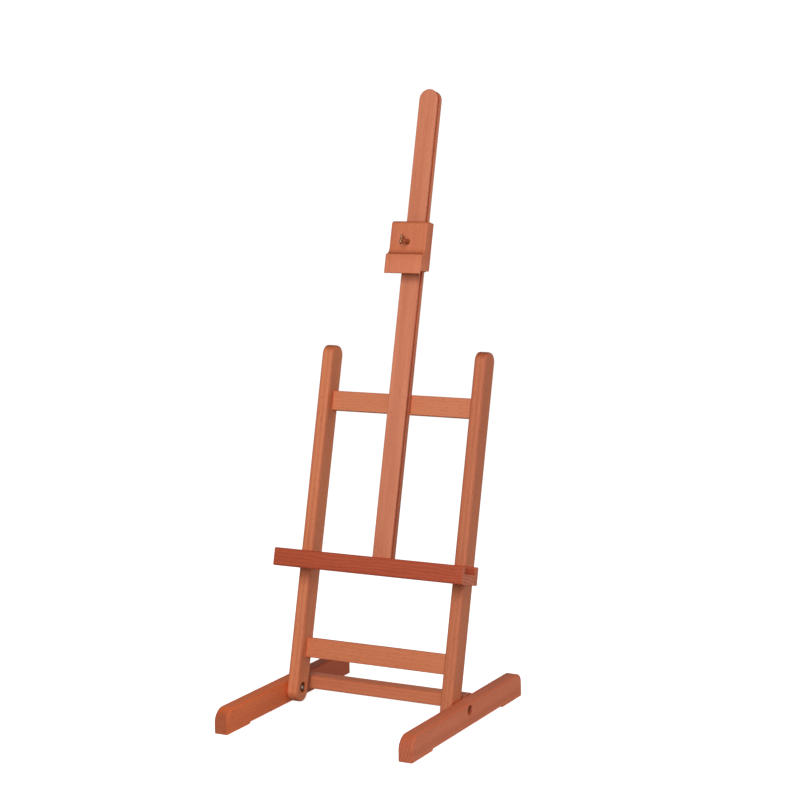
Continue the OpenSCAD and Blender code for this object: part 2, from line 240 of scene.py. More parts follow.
def prism(corners, axis, low, high):
    """A solid with that outline from low to high along an axis. Its edge weights are bevels in mm."""
    points = outline(corners)
    place = AXIS_ORDER[axis]
    solid = bmesh.new()
    weight = solid.edges.layers.float.new("bevel_weight_edge")
    rings = [[solid.verts.new(place(p.x, p.y, t)) for p, _, _ in points] for t in (low, high)]
    for ring in rings:
        solid.faces.new(ring)
    for i in range(len(points)):
        solid.faces.new((rings[0][i - 1], rings[0][i], rings[1][i], rings[1][i - 1]))
    for i, (_, across, rim) in enumerate(points):
        following = (i + 1) % len(points)
        for ring in rings:
            solid.edges.get((ring[i], ring[following]))[weight] = rim
        solid.edges.get((rings[0][i], rings[1][i]))[weight] = across
    bmesh.ops.recalc_face_normals(solid, faces=solid.faces)
    return solid


def block(low, high):
    """A plain box, for cutting and joining."""
    corners = [(low[0], low[1], 0), (high[0], low[1], 0), (high[0], high[1], 0), (low[0], high[1], 0)]
    return prism(corners, "Z", low[2], high[2])


def lathe(profile, steps=ROUND_STEPS):
    """A solid of revolution about Z from (radius, height) points that start and end on the axis."""
    solid = bmesh.new()
    solid.edges.layers.float.new("bevel_weight_edge")
    rings = []
    for radius, height in profile:
        if radius == 0:
            rings.append([solid.verts.new((0, 0, height))])
            continue
        rings.append([solid.verts.new((radius * math.cos(2 * math.pi * i / steps),
                                       radius * math.sin(2 * math.pi * i / steps), height))
                      for i in range(steps)])
    for low, high in zip(rings, rings[1:]):
        for i in range(steps):
            below = low if len(low) == 1 else [low[i - 1], low[i]]
            over = high if len(high) == 1 else [high[i], high[i - 1]]
            solid.faces.new(below + over)
    bmesh.ops.recalc_face_normals(solid, faces=solid.faces)
    return solid


def moved(solid, matrix):
    """The solid, moved in place, with its faces still outwards after a mirroring."""
    bmesh.ops.transform(solid, matrix=matrix, verts=solid.verts)
    if matrix.determinant() < 0:
        bmesh.ops.reverse_faces(solid, faces=solid.faces)
    return solid


def along_x(x, z, side=1):
    """Puts a lathe's axis along X at that height, starting at x on its side and pointing outwards."""
    return Matrix.Translation((x * side, 0, z)) @ Matrix.Rotation(side * math.pi / 2, 4, "Y")


# Turns a solid end for end about its start, after along_x
TOWARDS_MIDDLE = Matrix.Rotation(math.pi, 4, "X")


def wood_screw_hole(length, x, y, z):
    """The countersunk hole of a wood screw driven forwards from the face at y."""
    head_r = WOOD_HEAD_D / 2 + WOOD_SCREW_PLAY
    shank_r = WOOD_SHANK_D / 2 + WOOD_SCREW_PLAY
    hole = lathe([(0, -OVER), (head_r, -OVER), (head_r, 0), (shank_r, WOOD_HEAD_H), (shank_r, length),
                  (0, length)])
    return moved(hole, Matrix.Translation((x, y, z)) @ Matrix.Rotation(math.pi / 2, 4, "X"))


def through_hole(diameter, length):
    """A plain hole from Z = 0 to that height, or down to it if it is below 0, and open past both ends."""
    low, high = sorted((0, length))
    radius = diameter / 2
    return lathe([(0, low - OVER), (radius, low - OVER), (radius, high + OVER), (0, high + OVER)])


def chamfered_hole(diameter, depth, chamfer=0.5):
    """A blind hole down from Z = 0, opening with a small chamfer."""
    radius = diameter / 2
    mouth = radius + chamfer
    return lathe([(0, -depth), (radius, -depth), (radius, -chamfer), (mouth, 0), (mouth, OVER), (0, OVER)])


# ---------------------------------------------------------------- pieces
# The grain of each wooden piece runs along its object's own Z
TO_GRAIN = {
    "X": Matrix(((0, 1, 0), (0, 0, 1), (1, 0, 0))),
    "Y": Matrix(((0, 0, 1), (1, 0, 0), (0, 1, 0))),
    "Z": Matrix.Identity(3),
}
BEVEL_STEPS = 4
SHARP = math.radians(38)


def link_mesh(name, solid, turn):
    """An object of the solid in metres, and its widest bevel, with the edge weights as shares of that."""
    mesh = bpy.data.meshes.new(name)
    weight = solid.edges.layers.float["bevel_weight_edge"]
    widest = max([edge[weight] for edge in solid.edges], default=0)
    for edge in solid.edges:
        edge[weight] /= max(widest, APART)
    bmesh.ops.transform(solid, matrix=turn.to_4x4() * MM, verts=solid.verts)
    solid.to_mesh(mesh)
    solid.free()
    made = bpy.data.objects.new(name, mesh)
    bpy.context.scene.collection.objects.link(made)
    return made, widest * MM


def settle(made):
    """Applies an object's modifiers to its mesh."""
    graph = bpy.context.evaluated_depsgraph_get()
    mesh = bpy.data.meshes.new_from_object(made.evaluated_get(graph))
    made.modifiers.clear()
    old, made.data = made.data, mesh
    bpy.data.meshes.remove(old)


def piece(name, solid, place, body, nodes, material, grain="Z", joined=(), kept=(), cuts=()):
    """A finished piece that rides on its CAD body and replaces its CAD nodes.

    The solid is bevelled, joined to others, trimmed to what is kept, and cut."""
    turn = TO_GRAIN[grain]
    made, widest = link_mesh(name, solid, turn)
    if widest > 0:
        bevel = made.modifiers.new("bevel", "BEVEL")
        bevel.width = widest
        bevel.segments = BEVEL_STEPS
        bevel.limit_method = "WEIGHT"
        bevel.use_clamp_overlap = False
    tools = []
    for how, solids in (("UNION", joined), ("INTERSECT", kept), ("DIFFERENCE", cuts)):
        for tool in solids:
            cutter, _ = link_mesh("tool", tool, turn)
            boolean = made.modifiers.new("boolean", "BOOLEAN")
            boolean.operation = how
            boolean.solver = "EXACT"
            boolean.object = cutter
            tools.append(cutter)
    settle(made)
    for tool in tools:
        old = tool.data
        bpy.data.objects.remove(tool)
        bpy.data.meshes.remove(old)
    made.data.name = name
    made.data.shade_smooth()
    made.data.set_sharp_from_angle(angle=SHARP)
    smooth = made.modifiers.new("normals", "WEIGHTED_NORMAL")
    smooth.keep_sharp = True
    made.data.materials.clear()
    made.data.materials.append(material)
    made.matrix_world = place @ turn.inverted().to_4x4()
    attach(made, body)
    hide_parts(*nodes)


# ---------------------------------------------------------------- materials
class Shader:
    """One material's node tree, with short ways to add and link its nodes."""

    def __init__(self, name):
        self.material = bpy.data.materials.new(name)
        self.material.use_nodes = True
        self.tree = self.material.node_tree
        self.tree.nodes.clear()

    def node(self, kind, settings=None, **inputs):
        made = self.tree.nodes.new("ShaderNode" + kind)
        for key, value in (settings or {}).items():
            setattr(made, key, value)
        for key, value in inputs.items():
            self.feed(made.inputs[key.replace("_", " ")], value)
        return made

    def feed(self, socket, value):
        if isinstance(value, bpy.types.NodeSocket):
            self.tree.links.new(value, socket)
        else:
            socket.default_value = value

    def stretch(self, vector, scale, offset=(0, 0, 0)):
        return self.node("Mapping", Vector=vector, Scale=scale, Location=offset).outputs[0]

    def noise(self, vector, scale, detail=2.0, roughness=0.5):
        made = self.node("TexNoise", Vector=vector, Scale=scale, Detail=detail, Roughness=roughness)
        return made.outputs[0]

    def remap(self, value, low, high, to_low=0.0, to_high=1.0):
        made = self.node("MapRange", {"interpolation_type": "SMOOTHSTEP"}, Value=value,
                         From_Min=low, From_Max=high, To_Min=to_low, To_Max=to_high)
        return made.outputs[0]

    def sum(self, *parts):
        """A weighted sum of (socket, weight) pairs."""
        total = None
        for value, weight in parts:
            made = self.node("Math", {"operation": "MULTIPLY_ADD"})
            self.feed(made.inputs[0], value)
            self.feed(made.inputs[1], weight)
            self.feed(made.inputs[2], 0.0 if total is None else total)
            total = made.outputs[0]
        return total

    def times(self, a, b):
        made = self.node("Math", {"operation": "MULTIPLY"})
        self.feed(made.inputs[0], a)
        self.feed(made.inputs[1], b)
        return made.outputs[0]

    def mix(self, factor, a, b, how="MIX"):
        made = self.node("Mix", {"data_type": "RGBA", "blend_type": how})
        for index, value in ((0, factor), (6, a), (7, b)):
            self.feed(made.inputs[index], value)
        return made.outputs[2]

    def edge_mask(self, radius, soft=0.08):
        """One on convex and concave edges, and nothing on flat faces."""
        normal = self.node("NewGeometry").outputs["Normal"]
        rounded = self.node("Bevel", {"samples": 4}, Radius=radius).outputs[0]
        dot = self.node("VectorMath", {"operation": "DOT_PRODUCT"})
        self.feed(dot.inputs[0], normal)
        self.feed(dot.inputs[1], rounded)
        return self.remap(dot.outputs["Value"], 1 - soft, 1 - soft / 8, 1.0, 0.0)

    def slant(self, normal):
        """Nothing where the normal lies along an object axis, and a half where it lies between two."""
        size = self.node("VectorMath", {"operation": "ABSOLUTE"})
        self.feed(size.inputs[0], normal)
        parts = self.node("SeparateXYZ", Vector=size.outputs[0]).outputs
        others = self.node("CombineXYZ", X=parts["Y"], Y=parts["Z"], Z=parts["X"]).outputs[0]
        dot = self.node("VectorMath", {"operation": "DOT_PRODUCT"})
        self.feed(dot.inputs[0], size.outputs[0])
        self.feed(dot.inputs[1], others)
        return dot.outputs["Value"]

    def finish(self, **inputs):
        shader = self.node("BsdfPrincipled", **inputs)
        output = self.node("OutputMaterial")
        self.tree.links.new(shader.outputs[0], output.inputs["Surface"])
        return self.material


def rgb(red, green, blue):
    return (red, green, blue, 1.0)


# How far the deeper stain and painted shade on an edge reach, and how near another face brings painted
# light into hollows, in metres
EDGE_REACH = 0.002
HOLLOW_REACH = 0.006
# What the wood's colour is multiplied by: on edges, a deeper stain with painted shade; on rounded faces,
# painted shade; and in the figure
EDGE_STAIN_AND_SHADE = (0.94, 0.74, 0.62)
ROUND_SHADE = (0.88, 0.74, 0.66)
PATCH_STAIN = (1.0, 0.86, 0.78)
FLECK_STAIN = (0.42, 0.30, 0.26)
END_RING_STAIN = (0.55, 0.48, 0.46)
# How far one seed moves the figure along each axis, so that no two bars are alike
SEED_STEP = (0.37, 0.61, 0.83)
RING_SEED_STEP = 0.29


def growth_rings(s, turned, seed, pith, run, wave):
    """Rings about a pith outside the bar. run is how fast they change along the grain, with 1 across it."""
    ringed = s.stretch(turned, (1, 1, run), (pith[0], pith[1], seed * RING_SEED_STEP))
    return s.node("TexWave", {"wave_type": "RINGS", "rings_direction": "Z", "wave_profile": "SIN"},
                  Vector=ringed, Scale=70.0, Distortion=wave, Detail=3.0, Detail_Scale=0.7,
                  Detail_Roughness=0.55).outputs[1]


def end_faces(s, normal, turn):
    """One on faces that cut across the grain, and nothing on the others."""
    grainwise = s.node("Mapping", {"vector_type": "NORMAL"}, Vector=normal, Rotation=turn).outputs[0]
    height = s.node("Math", {"operation": "ABSOLUTE"})
    s.feed(height.inputs[0], s.node("SeparateXYZ", Vector=grainwise).outputs["Z"])
    return s.remap(height.outputs[0], 0.35, 0.95)


def stained_and_shaded(s, colour, edges, normal, rounded, hollow_light):
    """The colour with its stain deeper on edges, painted shade on edges and rounded faces, and painted
    bounce light and shade in the hollows.
    """
    slant = s.remap(s.slant(normal), 0.08, 0.42)
    # Painted light in hollows near other faces: the colour there is changed as bounce light and shade would
    # change it
    open_air = s.node("AmbientOcclusion", {"samples": 8}, Distance=HOLLOW_REACH).outputs["AO"]
    hollows = s.remap(open_air, 0.25, 0.85, 1.0, 0.0)
    # Deeper stain on edges, which is partly painted shade
    colour = s.mix(s.times(edges, 0.5), colour, rgb(*EDGE_STAIN_AND_SHADE), "MULTIPLY")
    # Painted shade on rounded faces
    colour = s.mix(s.times(slant, rounded), colour, rgb(*ROUND_SHADE), "MULTIPLY")
    # Painted bounce light and shade in the hollows
    return s.mix(s.times(hollows, 0.7), colour, rgb(*hollow_light), "MULTIPLY")


def beech(name, tones, tint, seed, pith, figure=1.0, grain=1.0, run=0.045, end_tone=(0.78, 0.70, 0.68),
          turn=(0, 0, 0), wave=5.0, fade=None, hollow_light=(1.22, 0.72, 0.48), rounded=0.8):
    """Oiled beech: growth rings, long fine streaks, short dark flecks, another tone on the end grain, a
    stain that is deeper on edges, painted shade on edges and rounded faces, and painted bounce light and
    shade in hollows. The grain runs along Z, or along what turn takes to Z.

    tones are the pale and the deep wood, which tint multiplies. figure and grain are the strength of the
    rings and of the streaks. end_tone, the fade's tone and the tone for hollows (painted bounce light and
    shade) multiply the colour too.
    rounded is the strength of the painted shade on rounded faces. fade is (start, length, tone), in metres
    along the grain: the bar changes to that tone over that length."""
    s = Shader(name)
    pale, deep = [rgb(*[part * factor for part, factor in zip(tone, tint)]) for tone in tones]
    coords = s.node("TexCoord")
    turned = s.node("Mapping", Vector=coords.outputs["Object"], Rotation=turn).outputs[0]
    here = s.stretch(turned, (1, 1, 1), [step * seed for step in SEED_STEP])
    rings = growth_rings(s, turned, seed, pith, run, wave)
    broad = s.noise(s.stretch(here, (1, 1, 0.07)), 38.0, 3.0, 0.55)
    patches = s.noise(s.stretch(here, (1, 1, 0.3)), 14.0, 2.0)
    streaks = s.noise(s.stretch(here, (1, 1, 0.02)), 420.0, 4.0, 0.62)
    fibres = s.noise(s.stretch(here, (1, 1, 0.03)), 1500.0, 3.0, 0.7)
    flecks = s.remap(s.noise(s.stretch(here, (1, 1, 0.12)), 1150.0, 1.0), 0.64, 0.72)
    pores = s.remap(s.noise(s.stretch(here, (1, 1, 0.2)), 2100.0, 2.0), 0.55, 0.7)

    tone = s.sum((rings, 0.12 * figure), (broad, 0.40), (streaks, 0.32 * grain), (fibres, 0.22))
    colour = s.mix(s.remap(tone, 0.26, 0.78), deep, pale)
    colour = s.mix(s.times(s.remap(patches, 0.45, 0.75), 0.35), colour, rgb(*PATCH_STAIN), "MULTIPLY")
    colour = s.mix(s.times(flecks, 0.55), colour, rgb(*FLECK_STAIN), "MULTIPLY")
    if fade is not None:
        start, length, faded = fade
        along = s.node("SeparateXYZ", Vector=turned).outputs["Z"]
        wavy = s.sum((along, 1.0), (broad, 0.01), (patches, 0.01))
        colour = s.mix(s.remap(wavy, start, start + length), colour, rgb(*faded), "MULTIPLY")

    ends = end_faces(s, coords.outputs["Normal"], turn)
    end_wood = s.mix(1.0, colour, rgb(*end_tone), "MULTIPLY")
    end_rings = s.mix(1.0, deep, rgb(*END_RING_STAIN), "MULTIPLY")
    colour = s.mix(ends, colour, s.mix(s.sum((rings, 0.52), (pores, 0.34)), end_wood, end_rings))
    edges = s.edge_mask(EDGE_REACH)
    colour = stained_and_shaded(s, colour, edges, coords.outputs["Normal"], rounded, hollow_light)

    wear = s.times(edges, s.remap(broad, 0.35, 0.62))
    rough = s.sum((streaks, 0.16), (ends, 0.10), (wear, -0.05), (patches, 0.10), (1.0, 0.42))
    relief = s.sum((streaks, 0.7), (fibres, 0.5), (flecks, -0.6), (s.times(pores, ends), -0.8),
                   (broad, 1.2))
    bump = s.node("Bump", Strength=0.35, Distance=0.0002, Height=relief).outputs[0]
    return s.finish(Base_Color=colour, Roughness=rough, Normal=bump, Specular_IOR_Level=0.32,
                    Coat_Weight=0.04, Coat_Roughness=0.4)


# How far a rubbed edge reaches, and how near another face keeps metal dull, in metres
RUB_REACH = 0.0006
DULL_REACH = 0.003


def metal(name, bright, dull, bright_roughness, dull_roughness):
    """Plated or aged metal: dull in its hollows, mottled on its faces and bright along its edges."""
    s = Shader(name)
    here = s.node("TexCoord").outputs["Object"]
    mottle = s.noise(here, 520.0, 4.0, 0.6)
    scratches = s.noise(s.stretch(here, (1, 0.06, 1)), 3200.0, 2.0)
    open_air = s.node("AmbientOcclusion", {"samples": 8}, Distance=DULL_REACH).outputs["AO"]
    rubbed = s.edge_mask(RUB_REACH, 0.2)
    shine = s.sum((s.remap(open_air, 0.35, 0.95), 0.22), (s.remap(mottle, 0.36, 0.64), 0.20),
                  (rubbed, 0.65))
    shine = s.remap(shine, 0.05, 1.0)
    colour = s.mix(shine, dull, bright)
    rough = s.sum((s.remap(shine, 0, 1, dull_roughness, bright_roughness), 1.0), (scratches, 0.10))
    relief = s.sum((mottle, 1.0), (scratches, 0.4))
    bump = s.node("Bump", Strength=0.25, Distance=0.00008, Height=relief).outputs[0]
    return s.finish(Base_Color=colour, Metallic=1.0, Roughness=rough, Normal=bump)


# (pale, deep) wood before each bar's own tint
FRAME_TONES = (0.590, 0.185, 0.092), (0.440, 0.112, 0.052)
FOOT_TONES = (0.590, 0.165, 0.074), (0.430, 0.098, 0.038)
TRAY_TONES = (0.420, 0.080, 0.037), (0.300, 0.045, 0.020)
DOWEL_TONES = (0.74, 0.47, 0.25), (0.52, 0.29, 0.14)

# What the end grain's colour is multiplied by: the tray's ends are much paler than its faces
TRAY_END = (1.55, 3.0, 4.6)
LEFT_FOOT_END = (0.64, 0.76, 1.0)
RIGHT_FOOT_END = (0.92, 0.94, 0.98)
# Painted light in the feet's hollows: they are made lighter there
FOOT_HOLLOW_LIGHT = (1.6, 1.5, 1.5)

# The clamp is deeper above its nose. The left foot has a painted shadow at the brace and behind it, where
# the frame shades it. Each lead is how far below the nose's top, or in front of the brace, the change
# starts.
NOSE_FADE_LEAD = 5.5
REAR_SHADOW_LEAD = 6.0
NOSE_FADE = ((clamp_lo.z + NOSE_H - NOSE_FADE_LEAD) * MM, 0.018, (0.91, 0.85, 0.75))
REAR_SHADOW = ((brace_lo.y - REAR_SHADOW_LEAD) * MM, 0.02, (0.58, 0.48, 0.46))

# The dowels keep their CAD meshes, so their grain is turned to run along X
ALONG_X = (0, math.radians(-90), 0)

left_post_beech = beech("left_post_beech", FRAME_TONES, (1.09, 1.15, 1.0), 1, (0.05, -0.06))
right_post_beech = beech("right_post_beech", FRAME_TONES, (0.88, 0.87, 0.75), 2, (-0.07, -0.05))
mast_beech = beech("mast_beech", FRAME_TONES, (1.03, 1.14, 1.19), 3, (0.02, -0.09))
upper_bar_beech = beech("upper_bar_beech", FRAME_TONES, (1.18, 1.38, 1.27), 4, (-0.03, 0.08), 0.5, 0.3)
lower_bar_beech = beech("lower_bar_beech", FRAME_TONES, (1.16, 1.29, 1.12), 5, (0.05, 0.07), 0.5, 0.3)
clamp_beech = beech("clamp_beech", FRAME_TONES, (1.08, 1.12, 1.10), 6, (0.03, -0.08), 0.4, 1.2,
                    fade=NOSE_FADE, rounded=0.3)
tray_wood = beech("tray_wood", TRAY_TONES, (1.09, 1.04, 0.75), 7, (0.06, -0.03), 1.5, 0.5,
                  run=0.3, wave=9.0, end_tone=TRAY_END)
# The left foot's fade is a painted shadow
left_foot_beech = beech("left_foot_beech", FOOT_TONES, (1.38, 1.25, 0.90), 8, (0.05, 0.06), 0.4, 0.6,
                        end_tone=LEFT_FOOT_END, fade=REAR_SHADOW, hollow_light=FOOT_HOLLOW_LIGHT)
right_foot_beech = beech("right_foot_beech", FOOT_TONES, (1.10, 1.11, 1.16), 9, (-0.06, 0.05), 0.7, 0.8,
                         end_tone=RIGHT_FOOT_END, hollow_light=FOOT_HOLLOW_LIGHT)
brace_beech = beech("brace_beech", FOOT_TONES, (1.16, 1.40, 1.50), 10, (0.03, 0.09), 0.6, 0.4)
dowel_wood = beech("dowel_wood", DOWEL_TONES, (1, 1, 1), 11, (0.04, 0.05), turn=ALONG_X)
brass = metal("aged_brass", rgb(0.92, 0.76, 0.55), rgb(0.30, 0.125, 0.05), 0.12, 0.25)
brown_brass = metal("brown_brass", rgb(0.50, 0.19, 0.08), rgb(0.30, 0.085, 0.03), 0.34, 0.45)
# Dark brass for the pivot nuts and washers, darker than aged brass so that it also paints the shade of
# their recesses
dark_brass_and_shade = metal("dark_brass_and_shade", rgb(0.24, 0.13, 0.06), rgb(0.10, 0.05, 0.022), 0.45, 0.6)
zinc = metal("zinc_plate", rgb(0.92, 0.88, 0.86), rgb(0.26, 0.21, 0.18), 0.20, 0.40)


# ---------------------------------------------------------------- feet and brace
def foot_outline():
    front, rear, top = foot_lo.y, foot_hi.y, foot_hi.z
    rim, sole, ease = LONG_EDGE_R, SOLE_EDGE_R, FOOT_EASE
    return [
        (front, 0, TOE_R, sole),
        (front + FRONT_PAD, 0, ease, sole),
        (front + FRONT_PAD + RELIEF_SLOPE, RELIEF_H, ease, sole),
        (rear - REAR_PAD - RELIEF_SLOPE, RELIEF_H, ease, sole),
        (rear - REAR_PAD, 0, ease, sole),
        (rear, 0, TOE_R, rim),
        (rear, top, FOOT_REAR_R, rim),
        (front, top, FOOT_FRONT_R, rim),
    ]


def make_foot(name, side, material):
    low, high = sorted((foot_lo.x * side, foot_hi.x * side))
    outer_face = along_x(foot_hi.x, pivot_up, side)
    recess = moved(chamfered_hole(BOLT_RECESS_D, BOLT_RECESS_DEPTH), outer_face)
    bore = moved(through_hole(FOOT_BORE_D, foot_lo.x - foot_hi.x), outer_face)
    piece(name + "_bar", prism(foot_outline(), "X", low, high), UPRIGHT, "base", [name],
          material, grain="Y", cuts=[recess, bore])


make_foot("left_foot", -1, left_foot_beech)
make_foot("right_foot", 1, right_foot_beech)


def bar_outline(low, high, radius):
    """The side view of a plain bar that runs along X, with its long edges rounded."""
    return [(y, z, radius) for y, z in ((low.y, low.z), (high.y, low.z), (high.y, high.z), (low.y, high.z))]


piece("foot_brace_bar", prism(bar_outline(brace_lo, brace_hi, BRACE_EDGE_R), "X", brace_lo.x, brace_hi.x),
      UPRIGHT, "base", ["foot_brace"], brace_beech, grain="X")


# ---------------------------------------------------------------- tilting frame
tray_screw_z = tray_lo.z + FLOOR_T / 2
mast_foot_screw_z = tray_screw_z + MAST_FOOT_SCREW_LIFT
post_mid = (post_lo.x + post_hi.x) / 2


def tray_screw_holes():
    return [wood_screw_hole(TRAY_SCREW_LEN, side * post_mid, post_hi.y, tray_screw_z) for side in (-1, 1)]


def make_post(name, side, material):
    low, high = sorted((post_lo.x * side, post_hi.x * side))
    rim = LONG_EDGE_R
    view = [
        (post_lo.y, post_lo.z, POST_TAIL_R, rim),
        (post_hi.y, post_lo.z, POST_TAIL_R, rim),
        (post_hi.y, post_hi.z, POST_TOP_R, rim),
        (post_lo.y, post_hi.z, POST_TOP_R, rim),
    ]
    inner_face = along_x(post_lo.x, 0, side)
    recess = moved(chamfered_hole(NUT_RECESS_D, NUT_RECESS_DEPTH), inner_face @ TOWARDS_MIDDLE)
    bore = moved(through_hole(POST_BORE_D, post_hi.x - post_lo.x), inner_face)
    piece(name + "_bar", prism(view, "X", low, high), LEANT, "frame", [name], material,
          grain="Z", cuts=[recess, bore] + tray_screw_holes())


make_post("left_post", -1, left_post_beech)
make_post("right_post", 1, right_post_beech)


def make_crossbar(name, material, with_screws):
    low, high = extent(name, LEANT)
    middle = (low.z + high.z) / 2
    holes = [wood_screw_hole(MAST_SCREW_LEN, side * MAST_SCREW_X, high.y, middle)
             for side in (-1, 1) if with_screws]
    piece(name + "_bar", prism(bar_outline(low, high, EASED_R), "X", low.x, high.x), LEANT, "frame",
          [name], material, grain="X", cuts=holes)


make_crossbar("lower_crossbar", lower_bar_beech, False)
make_crossbar("upper_crossbar", upper_bar_beech, True)


def make_mast():
    round_r = mast_hi.x
    rim = EASED_R
    view = [
        (mast_lo.x, mast_lo.z, 0, 0),
        (mast_hi.x, mast_lo.z, 0, rim),
        (mast_hi.x, mast_hi.z, round_r, rim),
        (mast_lo.x, mast_hi.z, round_r, rim),
    ]
    front = mast_lo.y + GROOVE_FRONT
    grooves = []
    for side in (-1, 1):
        low, high = sorted((side * (mast_hi.x - GROOVE_DEPTH), side * (mast_hi.x + OVER)))
        grooves.append(block((low, front, mast_lo.z - OVER), (high, front + GROOVE_W, mast_hi.z + OVER)))
    holes = [wood_screw_hole(MAST_FOOT_SCREW_LEN, 0, mast_hi.y, mast_foot_screw_z)]
    piece("mast_bar", prism(view, "Y", mast_lo.y, mast_hi.y), LEANT, "frame", ["mast"],
          mast_beech, grain="Z", cuts=grooves + holes)


make_mast()


def make_tray():
    front, back, under, top = tray_lo.y, tray_hi.y, tray_lo.z, tray_hi.z
    floor = under + FLOOR_T
    rim = TRAY_END_R
    view = [
        (front, under, TRAY_FRONT_R, rim),
        (back, under, EASED_R, rim),
        (back, top, EASED_R, rim),
        (back - BACK_T, top, FINE_R, rim),
        (back - BACK_T, floor, CHANNEL_R, rim),
        (front + LIP_T, floor, CHANNEL_R, rim),
        (front + LIP_T, top, FINE_R, rim),
        (front, top, TRAY_FRONT_R, rim),
    ]
    housings = [block((mast_lo.x, mast_lo.y, under + MAST_SEAT), (mast_hi.x, back + OVER, top + OVER))]
    for side in (-1, 1):
        low, high = sorted((side * post_lo.x, side * post_hi.x))
        housings.append(block((low, post_lo.y, under - OVER), (high, back + OVER, top + OVER)))
    holes = tray_screw_holes() + [wood_screw_hole(MAST_FOOT_SCREW_LEN, 0, mast_hi.y, mast_foot_screw_z)]
    piece("tray_moulding", prism(view, "X", tray_lo.x, tray_hi.x), LEANT, "frame", ["tray"],
          tray_wood, grain="X", cuts=housings + holes)


make_tray()


# ---------------------------------------------------------------- clamp and wing screw
def make_clamp():
    under, top, nose = clamp_lo.z, clamp_hi.z, clamp_lo.y
    rim = CLAMP_EDGE_R
    cove = (CLAMP_FACE - COVE_R, under + NOSE_H + COVE_R)
    lip_angle = -math.degrees(math.acos((nose - cove[0]) / COVE_R))
    curve = [(u, v, 0, rim) for u, v, _ in arc(cove, COVE_R, 0, lip_angle)]
    curve[-1] = (curve[-1][0], curve[-1][1], FINE_R, rim)
    back_z = under + HOOK_H + UNDERSIDE_RISE
    fine = HOOK_T / 4
    view = [
        (nose, under, fine, fine),
        (nose + HOOK_T, under, fine, fine),
        (nose + HOOK_T, under + HOOK_H, 0, fine),
        (CLAMP_BACK, back_z, fine, EASED_R),
        (CLAMP_BACK, top, EASED_R, rim),
        (CLAMP_FACE, top, CLAMP_TOP_R, rim),
    ] + curve
    cheek_in = mast_hi.x + PLAY
    tongue_in = mast_hi.x - GROOVE_DEPTH + PLAY
    tongue_front = mast_lo.y + GROOVE_FRONT + PLAY
    head = top - GUIDE_DROP
    guides = []
    for side in (-1, 1):
        for inner, front in ((cheek_in, CLAMP_BACK - OVER), (tongue_in, tongue_front)):
            low, high = sorted((side * inner, side * (cheek_in + CHEEK_T)))
            guides.append(block((low, front, back_z), (high, clamp_hi.y, head)))
    channel = block((-cheek_in, mast_lo.y - PLAY, under - OVER), (cheek_in, tongue_front, top + OVER))
    backwards = Matrix.Rotation(-math.pi / 2, 4, "X")
    hole = lathe([(0, -OVER), (INSERT_D / 2, -OVER), (INSERT_D / 2, INSERT_LEN),
                  (THREAD_D / 2 + PLAY, INSERT_LEN), (THREAD_D / 2 + PLAY, 2 * INSERT_LEN),
                  (0, 2 * INSERT_LEN)])
    moved(hole, Matrix.Translation((0, CLAMP_FACE, under + SCREW_UP)) @ backwards)
    piece("clamp_block", prism(view, "X", clamp_lo.x, clamp_hi.x), LEANT, "clamp", ["canvas_clamp"],
          clamp_beech, grain="Z", joined=guides, cuts=[channel, hole])


make_clamp()


def threaded_shank(length):
    """Lathe points of a threaded shank, from its chamfered tip at -length up to 0."""
    radius = THREAD_D / 2
    points = [(0, -length), (radius - TIP_CUT, -length)]
    for i in range(int(length / THREAD_PITCH) - 1):
        z = -length + TIP_LENGTH + i * THREAD_PITCH
        points += [(radius - THREAD_CUT, z), (radius, z + THREAD_PITCH / 2)]
    return points + [(radius, 0)]


def wing(side, rise):
    """One wing of the screw in the plane of its axis, with its rim rounded."""
    ear = arc((WING_SPAN - WING_EAR_R, rise - WING_EAR_R), WING_EAR_R, 0, 160)
    inner = [(-WING_OVERLAP, rise - WING_EAR_R), (-WING_OVERLAP, WING_ROOT)]
    points = WING_FLARE + [(u, v) for u, v, _ in ear] + inner
    solid = prism([(u * side, v, 0, WING_RIM_R) for u, v in points], "Y", -WING_T / 2, WING_T / 2)
    weight = solid.edges.layers.float["bevel_weight_edge"]
    rim = [edge for edge in solid.edges if edge[weight] > 0]
    bmesh.ops.bevel(solid, geom=rim, offset=WING_RIM_R, offset_type="OFFSET", segments=3, profile=0.5,
                    affect="EDGES", clamp_overlap=False)
    return solid


def make_wing_screw():
    """Made along its own Z, with the clamp's face at 0, and then put in place."""
    shank = mast_lo.y - CLAMP_FACE
    rise = screw_hi.y - screw_lo.y - shank
    spot = Vector((0, CLAMP_FACE - PLAY, clamp_lo.z + SCREW_UP)) * MM
    place = (LEANT @ Matrix.Translation(spot) @ Matrix.Rotation(math.pi / 2, 4, "X")
             @ Matrix.Rotation(-WING_TURN, 4, "Z"))
    piece("wing_screw_body", lathe(threaded_shank(shank) + HUB, WING_SCREW_STEPS), place, "wing_screw",
          ["wing_screw"], brass, joined=[wing(side, rise) for side in (-1, 1)])


make_wing_screw()


# ---------------------------------------------------------------- pivot hardware
def both(solid):
    """The solid and its mirror image across X = 0, in one mesh."""
    other = solid.copy()
    moved(other, Matrix.Scale(-1, 4, (1, 0, 0)))
    mesh = bpy.data.meshes.new("mirror")
    other.to_mesh(mesh)
    other.free()
    solid.from_mesh(mesh)
    bpy.data.meshes.remove(mesh)
    return solid


def hexagon(flats, low, high):
    """A hexagonal bar along Z, with that distance across its flats."""
    return prism(arc((0, 0), flats / math.sqrt(3), 0, 300, steps=5), "Z", low, high)


def dome(radius, height, foot_z, steps=6):
    """Lathe points of a spherical cap that ends on the axis."""
    ball = (radius * radius + height * height) / (2 * height)
    centre = foot_z + height - ball
    start = math.asin(min(1, radius / ball))
    angles = [start * (1 - i / steps) for i in range(steps)]
    return [(ball * math.sin(a), centre + ball * math.cos(a)) for a in angles] + [(0, centre + ball)]


